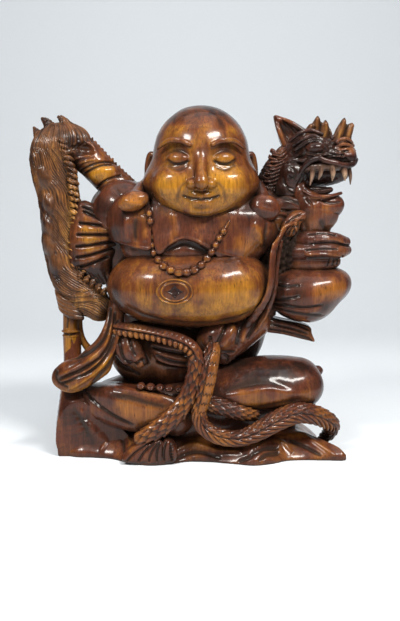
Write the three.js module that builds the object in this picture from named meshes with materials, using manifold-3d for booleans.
// A carved hardwood statue: a seated, stout monk with a bead necklace and a coin on the belly, a sack at
// the left hand, a bamboo staff at the right, and a dragon that comes over the left shoulder, crosses the
// back, arches over the right shoulder and winds its scaled tail across the lap and over the base.
//
// Units are millimetres. +Z is up, the statue faces -Y, and +X is the viewer's right. The origin is at the
// middle of the bounding box on the floor. Left and right in the names are the figure's own.
//
// The carving is split into its carved forms. Forms are added from the front of the pile to the back, and
// each new one is cut back by every form before it, so that neighbours meet with a thin glue line.

import * as THREE from 'three';
import { mergeVertices } from 'three/addons/utils/BufferGeometryUtils.js';
import Module from 'manifold-3d';

const wasm = await Module();
wasm.setup();

// Driving dimensions.
const HEIGHT = 300; // floor to the crown of the head
const HALF_DEPTH = 62; // middle of the block to its front or back
const GLUE_LINE = 0.5; // how far a form is grown before it cuts its neighbour
const BASE_THICKNESS = 14; // of the cloth under the seat
const BASE_TOP = BASE_THICKNESS + GLUE_LINE;

const SHARPEST_CORNER = 0.3; // least cosine that a corner is moved out by

// Facets of the plain solids.
const SIDES = 10; // round a limb
const RINGS_PER_SPAN = 1; // along a limb, between two of its stations
const CAP_RINGS = 2; // in each round end of a limb
const MERIDIANS = 12; // round an ellipsoid
const PARALLELS = 8; // from pole to pole of an ellipsoid

const FINISHES = {
  amber: new THREE.MeshStandardMaterial({ color: 0x8a4a14, roughness: 0.3, metalness: 0 }),
  brown: new THREE.MeshStandardMaterial({ color: 0x55230f, roughness: 0.32, metalness: 0 }),
  dark: new THREE.MeshStandardMaterial({ color: 0x2e1510, roughness: 0.38, metalness: 0 }),
  fur: new THREE.MeshStandardMaterial({ color: 0x4a2c14, roughness: 0.42, metalness: 0 }),
  tooth: new THREE.MeshStandardMaterial({ color: 0x7d5c4c, roughness: 0.35, metalness: 0 }),
};

// ---------------------------------------------------------------- solids

// A closed geometry as a manifold-3d solid.
function solidOf(geometry) {
  const bare = new THREE.BufferGeometry();
  const flat = geometry.index ? geometry.toNonIndexed() : geometry;
  bare.setAttribute('position', flat.getAttribute('position').clone());
  const merged = mergeVertices(bare, 1e-3);
  return new wasm.Manifold(new wasm.Mesh({
    numProp: 3,
    vertProperties: new Float32Array(merged.attributes.position.array),
    triVerts: new Uint32Array(merged.index.array),
  }));
}

function geometryOf(solid) {
  const mesh = solid.getMesh();
  const positions = new Float32Array(mesh.numVert * 3);
  for (let i = 0; i < mesh.numVert; i += 1) {
    for (let k = 0; k < 3; k += 1) positions[3 * i + k] = mesh.vertProperties[mesh.numProp * i + k];
  }
  const geometry = new THREE.BufferGeometry();
  geometry.setAttribute('position', new THREE.BufferAttribute(positions, 3));
  geometry.setIndex(new THREE.BufferAttribute(new Uint32Array(mesh.triVerts), 1));
  return geometry;
}

// The same solid with each corner moved outwards, far enough to carry its steepest face the whole distance.
function grown(solid, distance) {
  const geometry = geometryOf(solid);
  geometry.computeVertexNormals();
  const { position, normal } = geometry.attributes;
  const corners = geometry.index.array;
  const cosines = new Float32Array(position.count).fill(1);
  const face = new THREE.Triangle();
  const faceNormal = new THREE.Vector3();
  const cornerNormal = new THREE.Vector3();
  for (let i = 0; i < corners.length; i += 3) {
    face.setFromAttributeAndIndices(position, corners[i], corners[i + 1], corners[i + 2]);
    face.getNormal(faceNormal);
    for (const corner of corners.slice(i, i + 3)) {
      cornerNormal.fromBufferAttribute(normal, corner);
      cosines[corner] = Math.min(cosines[corner], faceNormal.dot(cornerNormal));
    }
  }
  for (let i = 0; i < position.count; i += 1) {
    const step = distance / Math.max(cosines[i], SHARPEST_CORNER);
    cornerNormal.fromBufferAttribute(normal, i);
    position.setXYZ(
      i,
      position.getX(i) + step * cornerNormal.x,
      position.getY(i) + step * cornerNormal.y,
      position.getZ(i) + step * cornerNormal.z,
    );
  }
  geometry.deleteAttribute('normal');
  return solidOf(geometry);
}

const join = (...solids) => solids.reduce((whole, next) => whole.add(next));

// Cuts away whatever lies below a level, so that a form rests on the floor or on the base cloth.
function above(level, solid) {
  const side = 4 * HEIGHT;
  const block = new THREE.BoxGeometry(side, side, side);
  block.translate(0, 0, level - side / 2);
  return solid.subtract(solidOf(block));
}

// An ellipsoid from its centre and its three radii, leaned by an angle in degrees about the Y axis.
function blob([x, y, z], [rx, ry, rz], { lean = 0, meridians = MERIDIANS, parallels = PARALLELS } = {}) {
  const geometry = new THREE.SphereGeometry(1, meridians, parallels);
  geometry.rotateX(Math.PI / 2);
  geometry.scale(rx, ry, rz);
  geometry.rotateY(THREE.MathUtils.degToRad(lean));
  geometry.translate(x, y, z);
  return solidOf(geometry);
}

// A round-ended limb through stations [x, y, z, radius]. Its sections are ellipses: depth is their radius
// along Y as a share of the radius across.
function limb(stations, { depth = 1, sides = SIDES, perSpan = RINGS_PER_SPAN } = {}) {
  const route = new THREE.CatmullRomCurve3(stations.map(([x, y, z]) => new THREE.Vector3(x, y, z)));
  const girth = new THREE.CatmullRomCurve3(stations.map(([, , , r]) => new THREE.Vector3(r, 0, 0)));
  const spans = (stations.length - 1) * perSpan;
  const rings = [];
  const addRing = (t, share, along) => {
    const tangent = route.getTangent(t);
    const inward = new THREE.Vector3(0, 1, 0).addScaledVector(tangent, -tangent.y).normalize();
    const side = new THREE.Vector3().crossVectors(tangent, inward);
    const radius = girth.getPoint(t).x;
    const centre = route.getPoint(t).addScaledVector(tangent, along * radius);
    rings.push(Array.from({ length: sides }, (_, i) => {
      const angle = (2 * Math.PI * i) / sides;
      return centre.clone()
        .addScaledVector(side, share * radius * Math.cos(angle))
        .addScaledVector(inward, share * radius * depth * Math.sin(angle));
    }));
    return route.getPoint(t).addScaledVector(tangent, Math.sign(along) * radius);
  };
  const capAngles = Array.from({ length: CAP_RINGS }, (_, i) => ((i + 1) * Math.PI) / (2 * CAP_RINGS + 2));
  const start = addRing(0, Math.cos(capAngles[CAP_RINGS - 1]), -Math.sin(capAngles[CAP_RINGS - 1]));
  capAngles.slice(0, -1).reverse().forEach((a) => addRing(0, Math.cos(a), -Math.sin(a)));
  for (let i = 0; i <= spans; i += 1) addRing(i / spans, 1, 0);
  capAngles.slice(0, -1).forEach((a) => addRing(1, Math.cos(a), Math.sin(a)));
  const end = addRing(1, Math.cos(capAngles[CAP_RINGS - 1]), Math.sin(capAngles[CAP_RINGS - 1]));

  const corners = rings.flat();
  const first = corners.push(start) - 1;
  const last = corners.push(end) - 1;
  const faces = [];
  const lastRing = (rings.length - 1) * sides;
  for (let i = 0; i < sides; i += 1) {
    const j = (i + 1) % sides;
    faces.push(first, j, i, last, lastRing + i, lastRing + j);
    for (let k = 0; k < rings.length - 1; k += 1) {
      const a = k * sides;
      const b = a + sides;
      faces.push(a + i, a + j, b + j, a + i, b + j, b + i);
    }
  }
  const geometry = new THREE.BufferGeometry().setFromPoints(corners);
  geometry.setIndex(faces);
  const solid = solidOf(geometry);
  return solid.volume() > 0 ? solid : solidOf(flipped(geometry));
}

function flipped(geometry) {
  const copy = geometry.clone();
  const order = copy.index.array;
  for (let i = 0; i < order.length; i += 3) [order[i + 1], order[i + 2]] = [order[i + 2], order[i + 1]];
  return copy;
}

// A plate whose outline is drawn in the front view as [x, z], from the front face at y0 to the back at y1.
function plate(outline, y0, y1, bevel = 2) {
  const shape = new THREE.Shape(outline.map(([x, z]) => new THREE.Vector2(x, z)));
  const geometry = new THREE.ExtrudeGeometry(shape, {
    depth: y1 - y0 - 2 * bevel,
    bevelThickness: bevel,
    bevelSize: bevel,
    bevelOffset: -bevel,
    bevelSegments: 1,
  });
  geometry.rotateX(Math.PI / 2);
  geometry.translate(0, y1 - bevel, 0);
  return solidOf(geometry);
}

// A turned piece on a vertical axis, from its profile of [radius, z].
function turned([x, y], profile) {
  const geometry = new THREE.LatheGeometry(profile.map(([r, z]) => new THREE.Vector2(r, z)), SIDES);
  geometry.rotateX(Math.PI / 2);
  geometry.translate(x, y, 0);
  return solidOf(geometry);
}

// A tooth or spike: a cone from its root to its tip.
function spike(root, tip, radius) {
  const from = new THREE.Vector3(...root);
  const to = new THREE.Vector3(...tip);
  const geometry = new THREE.ConeGeometry(radius, from.distanceTo(to), 6);
  const up = new THREE.Vector3(0, 1, 0);
  const turn = new THREE.Quaternion().setFromUnitVectors(up, to.clone().sub(from).normalize());
  geometry.applyQuaternion(turn);
  geometry.translate(...from.add(to).multiplyScalar(0.5).toArray());
  return solidOf(geometry);
}

// ---------------------------------------------------------------- assembly

const statue = new THREE.Group();
const placed = [];

function boxesMeet(a, b) {
  return [0, 1, 2].every((k) => a.min[k] <= b.max[k] && b.min[k] <= a.max[k]);
}

// Joins the lumps of a form, cuts it back by its neighbours and by the level it rests on, keeps the largest
// body, and adds it as a named mesh.
function add(name, form, finish, level = null) {
  const lumps = [form].flat();
  let solid = join(...lumps);
  if (level !== null) solid = above(level, solid);
  for (const other of placed) {
    if (boxesMeet(other.box, solid.boundingBox())) solid = solid.subtract(other.cutter);
  }
  const bodies = solid.decompose().sort((a, b) => b.volume() - a.volume());
  let cutter = join(...lumps.map((lump) => grown(lump, GLUE_LINE)));
  if (level !== null) cutter = above(level - GLUE_LINE / 2, cutter);
  placed.push({ cutter, box: cutter.boundingBox() });
  const mesh = new THREE.Mesh(geometryOf(bodies[0]), FINISHES[finish]);
  mesh.name = name;
  statue.add(mesh);
}

// ---------------------------------------------------------------- the monk

add('coin_medallion', coin(), 'amber');
add('bead_necklace', necklace(), 'amber');

add('belly', limb([
  [-38, -18, 146, 32],
  [0, -21, 148, 34],
  [36, -18, 147, 33],
], { depth: 1.15 }), 'amber');

add('head', [
  blob([8, -8, HEIGHT - 38], [41, 40, 38]),
  blob([8, -14, HEIGHT - 65], [47, 40, 29]),
], 'amber');

add('right_ear', limb([
  [-34, 4, 256, 5],
  [-40, 1, 240, 6],
  [-48, -8, 227, 8],
  [-57, -15, 221, 6],
]), 'brown');

add('left_ear', limb([
  [50, 4, 252, 5],
  [55, 1, 236, 6],
  [61, -9, 220, 9],
  [67, -15, 211, 7],
]), 'brown');

add('tail_lap', limb([
  [-66, -28, 118, 5.5],
  [-50, -38, 114, 6],
  [-30, -44, 110, 6],
  [-8, -48, 103, 6.5],
  [6, -50, 91, 7],
  [8, -51, 76, 7.5],
  [1, -52, 62, 7],
  [-9, -53, 49, 7],
  [-24, -54, 36, 6.5],
  [-40, -54, 25, 5.5],
], { sides: 10 }), 'brown');

add('tail_loop', limb([
  [22, -44, 98, 5],
  [19, -49, 84, 6.5],
  [14, -52, 66, 7],
  [8, -53, 50, 7],
  [9, -53, 36, 7],
  [22, -53, 25, 6.5],
  [42, -53, 22, 6.5],
  [60, -51, 28, 7],
  [78, -47, 37, 7.5],
  [98, -41, 41, 7.5],
  [114, -34, 36, 7],
  [122, -24, 27, 6],
  [118, -13, 18, 5],
], { sides: 10 }), 'brown');

add('tail_fan', [[-50, -50, 11], [-37, -53, 13], [-23, -50, 10]].map((centre) => (
  blob(centre, [9, 7, centre[2] + 1], { meridians: 8, parallels: 6 })
)), 'brown', 0);

add('tail_stub', limb([
  [18, -46, 52, 7],
  [32, -47, 46, 7],
  [46, -44, 41, 6.5],
  [54, -40, 38, 5],
], { sides: 10 }), 'brown');

add('right_leg', limb([
  [-84, -14, 46, 20],
  [-62, -24, 46, 21],
  [-40, -31, 42, 19],
  [-18, -35, 36, 15],
], { depth: 1.1 }), 'brown');

add('left_leg', limb([
  [12, -14, 60, 20],
  [42, -15, 60, 21],
  [72, -14, 60, 22.5],
  [95, -12, 59, 22],
], { depth: 1.35 }), 'brown');

add('toes', toes(), 'dark');

// ---------------------------------------------------------------- robe, sleeves, sack and staff

add('right_sleeve', limb([
  [-57, -26, 130, 9],
  [-62, -30, 112, 11],
  [-72, -34, 94, 13],
  [-88, -35, 79, 16],
  [-102, -34, 73, 17],
], { depth: 0.7 }), 'amber');

add('robe_hem', limb([
  [95, -26, 216, 2.6],
  [80, -35, 194, 2.6],
  [69, -43, 172, 2.6],
  [67, -45, 150, 2.6],
  [61, -42, 128, 2.6],
  [50, -34, 106, 2.6],
], { sides: 8 }), 'brown');

add('robe_knot', blob([90, -32, 201], [9, 7, 11]), 'brown');

add('sack', blob([108, -8, 142], [33, 32, 29]), 'brown');

add('sleeve_tail', plate([
  [58, 106],
  [64, 120],
  [90, 114],
  [106, 107],
  [110, 94],
  [84, 99],
], -17, 3), 'dark');

add('left_hand', limb([
  [88, -6, 172, 15],
  [106, -10, 176, 15],
  [122, -13, 178, 13],
  [130, -13, 178, 9],
], { depth: 1.3 }), 'dark');

add('sack_top', turned([106, -7], [
  [0, 166],
  [16, 166],
  [16, 198],
  [18, 206],
  [0, 208],
]), 'dark');

add('robe_front', limb([
  [86, -12, 212, 14],
  [80, -18, 190, 15],
  [78, -24, 165, 15],
  [74, -24, 140, 14],
  [66, -22, 120, 12],
  [54, -18, 105, 10],
], { depth: 1.2 }), 'dark');

add('staff', turned([-106, 1], [
  [0, 58],
  [8, 58],
  [8, 84],
  [7, 100],
  [8.4, 102],
  [8.4, 105],
  [7, 107],
  [6.8, 130],
  [0, 130],
]), 'amber');

add('pleated_sleeve', plate([
  [-96, 217],
  [-60, 200],
  [-57, 172],
  [-68, 156],
  [-92, 157],
  [-104, 170],
  [-98, 190],
], -23, -3), 'amber');

// ---------------------------------------------------------------- the dragon

add('upper_teeth', upperTeeth(), 'tooth');

add('dragon_tongue', limb([
  [100, -20, 229, 5],
  [112, -26, 230, 4.5],
  [122, -30, 233, 3],
], { depth: 1.2, sides: 8 }), 'dark');

add('dragon_skull', [
  blob([104, -2, 262], [29, 26, 17]),
  blob([121, -14, 257], [19, 20, 12]),
], 'dark');

add('dragon_ear', plate([
  [72, 291],
  [95, 280],
  [90, 268],
  [80, 264],
], 2, 12), 'brown');

add('front_crest', plate([
  [97, 274],
  [101, 284],
  [109, 293],
  [113, 285],
  [117, 288],
  [124, 273],
], -6, 4), 'fur');

add('rear_crest', plate([
  [120, 268],
  [124, 280],
  [131, 290],
  [134, 282],
  [140, 285],
  [137, 266],
], -16, -6), 'fur');

add('dragon_jaw', [
  blob([110, -14, 214], [23, 22, 12]),
  blob([94, -6, 224], [12, 16, 12]),
], 'brown');

add('dragon_neck', limb([
  [74, 10, 212, 17],
  [74, 7, 232, 16],
  [84, 3, 250, 17],
], { depth: 1.1 }), 'dark');

add('dragon_flank', [
  blob([-106, 6, 264], [22, 19, 21]),
  limb([
    [-118, 5, 268, 20],
    [-119, 4, 248, 20],
    [-115, 3, 224, 17.5],
    [-113, 2, 198, 16],
    [-112, 0, 174, 17],
    [-104, -2, 153, 18],
    [-90, -4, 139, 16],
    [-76, -8, 130, 13],
  ], { depth: 0.95 }),
  spike([-122, 5, 278], [-130, 5, 296], 6),
  spike([-112, 5, 278], [-117, 5, 297], 6),
  spike([-130, 5, 274], [-141, 5, 287], 5),
], 'fur');

add('right_hand', limb([
  [-116, -8, 137, 5],
  [-112, -12, 131, 7],
  [-100, -14, 126, 7],
  [-88, -14, 120, 5],
], { sides: 8 }), 'fur');

add('dragon_span', limb([
  [-46, 12, 224, 14],
  [-62, 9, 236, 16],
  [-80, 7, 250, 18],
  [-92, 6, 262, 19],
]), 'amber');

add('dragon_back', limb([
  [72, 22, 214, 14],
  [50, 36, 206, 14],
  [10, HALF_DEPTH - 15, 198, 15],
  [-28, 38, 206, 15],
  [-48, 25, 216, 14],
]), 'fur');

// ---------------------------------------------------------------- body and robe behind

add('right_shoulder', limb([
  [-46, 2, 214, 22],
  [-66, 0, 205, 24],
  [-76, -1, 188, 22],
  [-72, -3, 166, 20],
  [-66, -6, 146, 18],
], { depth: 1.05, sides: 8 }), 'brown');

add('left_shoulder', limb([
  [50, 4, 212, 21],
  [70, 2, 204, 23],
  [80, 0, 184, 22],
  [78, -2, 160, 20],
], { depth: 1.05, sides: 8 }), 'brown');

add('chest', limb([
  [-36, -10, 194, 24],
  [4, -10, 198, 25],
  [40, -10, 191, 25],
], { depth: 1.35 }), 'brown');

add('waist_robe', limb([
  [42, -14, 116, 16],
  [32, -17, 100, 14],
  [22, -19, 86, 11],
], { depth: 1.2 }), 'brown');

add('lap_robe', blob([-24, -6, 88], [50, 29, 36], { meridians: 10, parallels: 6 }), 'dark');

add('cloth_column', limb([
  [-94, 2, 22, 24],
  [-97, 2, 42, 21],
  [-98, 2, 64, 15],
  [-98, 2, 84, 12],
  [-104, 2, 98, 9],
], { depth: 0.95 }), 'brown', BASE_TOP);

add('rear_drape', limb([
  [58, 22, 48, 20],
  [88, 20, 54, 14],
  [114, 17, 64, 5.5],
]), 'dark');

add('seat', blob([0, 10, 36], [100, 44, 38], { parallels: 6 }), 'brown', BASE_TOP);

add('robe_back', blob([2, 20, 128], [72, 37, 94], { meridians: 10, parallels: 6 }), 'brown');

add('base_cloth', base(), 'brown');

export default statue;

// ---------------------------------------------------------------- forms with details of their own

// An oval disc with a raised rim and a square hole through it.
function coin() {
  const radius = 15.5;
  const heightShare = 0.7;
  const thickness = 3;
  const disc = new THREE.Shape();
  disc.absarc(0, 0, radius, 0, 2 * Math.PI);
  const half = 4.2;
  disc.holes.push(new THREE.Path([
    new THREE.Vector2(half, 0),
    new THREE.Vector2(0, half),
    new THREE.Vector2(-half, 0),
    new THREE.Vector2(0, -half),
  ]));
  const face = new THREE.ExtrudeGeometry(disc, { depth: thickness, bevelEnabled: false, curveSegments: 12 });
  const rimThickness = 1.4;
  const rim = new THREE.TorusGeometry(radius - rimThickness, rimThickness, 6, 24);
  rim.translate(0, 0, thickness);
  return join(...[face, rim].map((geometry) => {
    geometry.scale(1, heightShare, 1);
    geometry.rotateX(Math.PI / 2);
    geometry.translate(-12, thickness + rimThickness - HALF_DEPTH, 148);
    return solidOf(geometry);
  }));
}

// Beads on a cord that hangs over the chest from the two sides of the neck: one string, thick at each
// bead and thin at the cord between two beads.
function necklace() {
  const route = new THREE.CatmullRomCurve3([
    [-33, -44, 213],
    [-32, -49, 198],
    [-31, -51, 184],
    [-24, -56, 172],
    [-8, -59, 166],
    [8, -59, 168],
    [19, -56, 178],
    [26, -51, 190],
    [33, -45, 203],
  ].map((point) => new THREE.Vector3(...point)));
  const beads = 17;
  const cord = 1.3;
  const stations = [];
  for (let i = 0; i < beads; i += 1) {
    const bead = 2.2 + 1.6 * Math.sin((Math.PI * (i + 0.5)) / beads);
    [[0, cord], [0.3, bead], [0.7, bead]].forEach(([share, radius]) => {
      stations.push([...route.getPointAt((i + share) / beads).toArray(), radius]);
    });
  }
  stations.push([...route.getPointAt(1).toArray(), cord]);
  return limb(stations, { sides: 6 });
}

// A row of five toes that shows above the right leg.
function toes() {
  return Array.from({ length: 5 }, (_, i) => (
    blob([-43 + 8 * i, -33 - i, 66 - i], [4.6, 7, 4], { meridians: 6, parallels: 4 })
  ));
}

// The upper gum with its fangs, which hang in front of the open mouth.
function upperTeeth() {
  const gum = limb([[98, -22, 247, 4], [112, -32, 246, 4], [128, -32, 247, 4]], { sides: 8 });
  const fangs = [[100, -24, 14], [107, -29, 12], [115, -33, 16], [123, -34, 13], [130, -31, 18]];
  return [gum, ...fangs.map(([x, y, length]) => spike([x, y, 246], [x - 1, y, 246 - length], 3))];
}

// The cloth that the figure sits on: a slab with a wavy edge and a soft top arris.
function base() {
  const edge = [
    [-120, 28], [-126, 0], [-125, -28], [-118, -48], [-103, -57], [-84, -44], [-62, -48], [-38, -60],
    [-14, -53], [6, -49], [30, -54], [53, -60], [72, -52], [86, -45], [108, -46], [131, -45],
    [122, -18], [110, 4], [114, 28], [96, 46], [60, 55], [20, 51], [-20, 56], [-60, 51], [-98, 48],
  ];
  const smooth = new THREE.SplineCurve([...edge, edge[0]].map(([x, y]) => new THREE.Vector2(x, y)));
  const outline = new THREE.Shape(smooth.getPoints(2 * edge.length).slice(0, -1));
  const bevel = 3;
  const geometry = new THREE.ExtrudeGeometry(outline, {
    depth: BASE_THICKNESS - bevel,
    bevelThickness: bevel,
    bevelSize: bevel,
    bevelOffset: -bevel,
    bevelSegments: 1,
  });
  return above(0, solidOf(geometry));
}
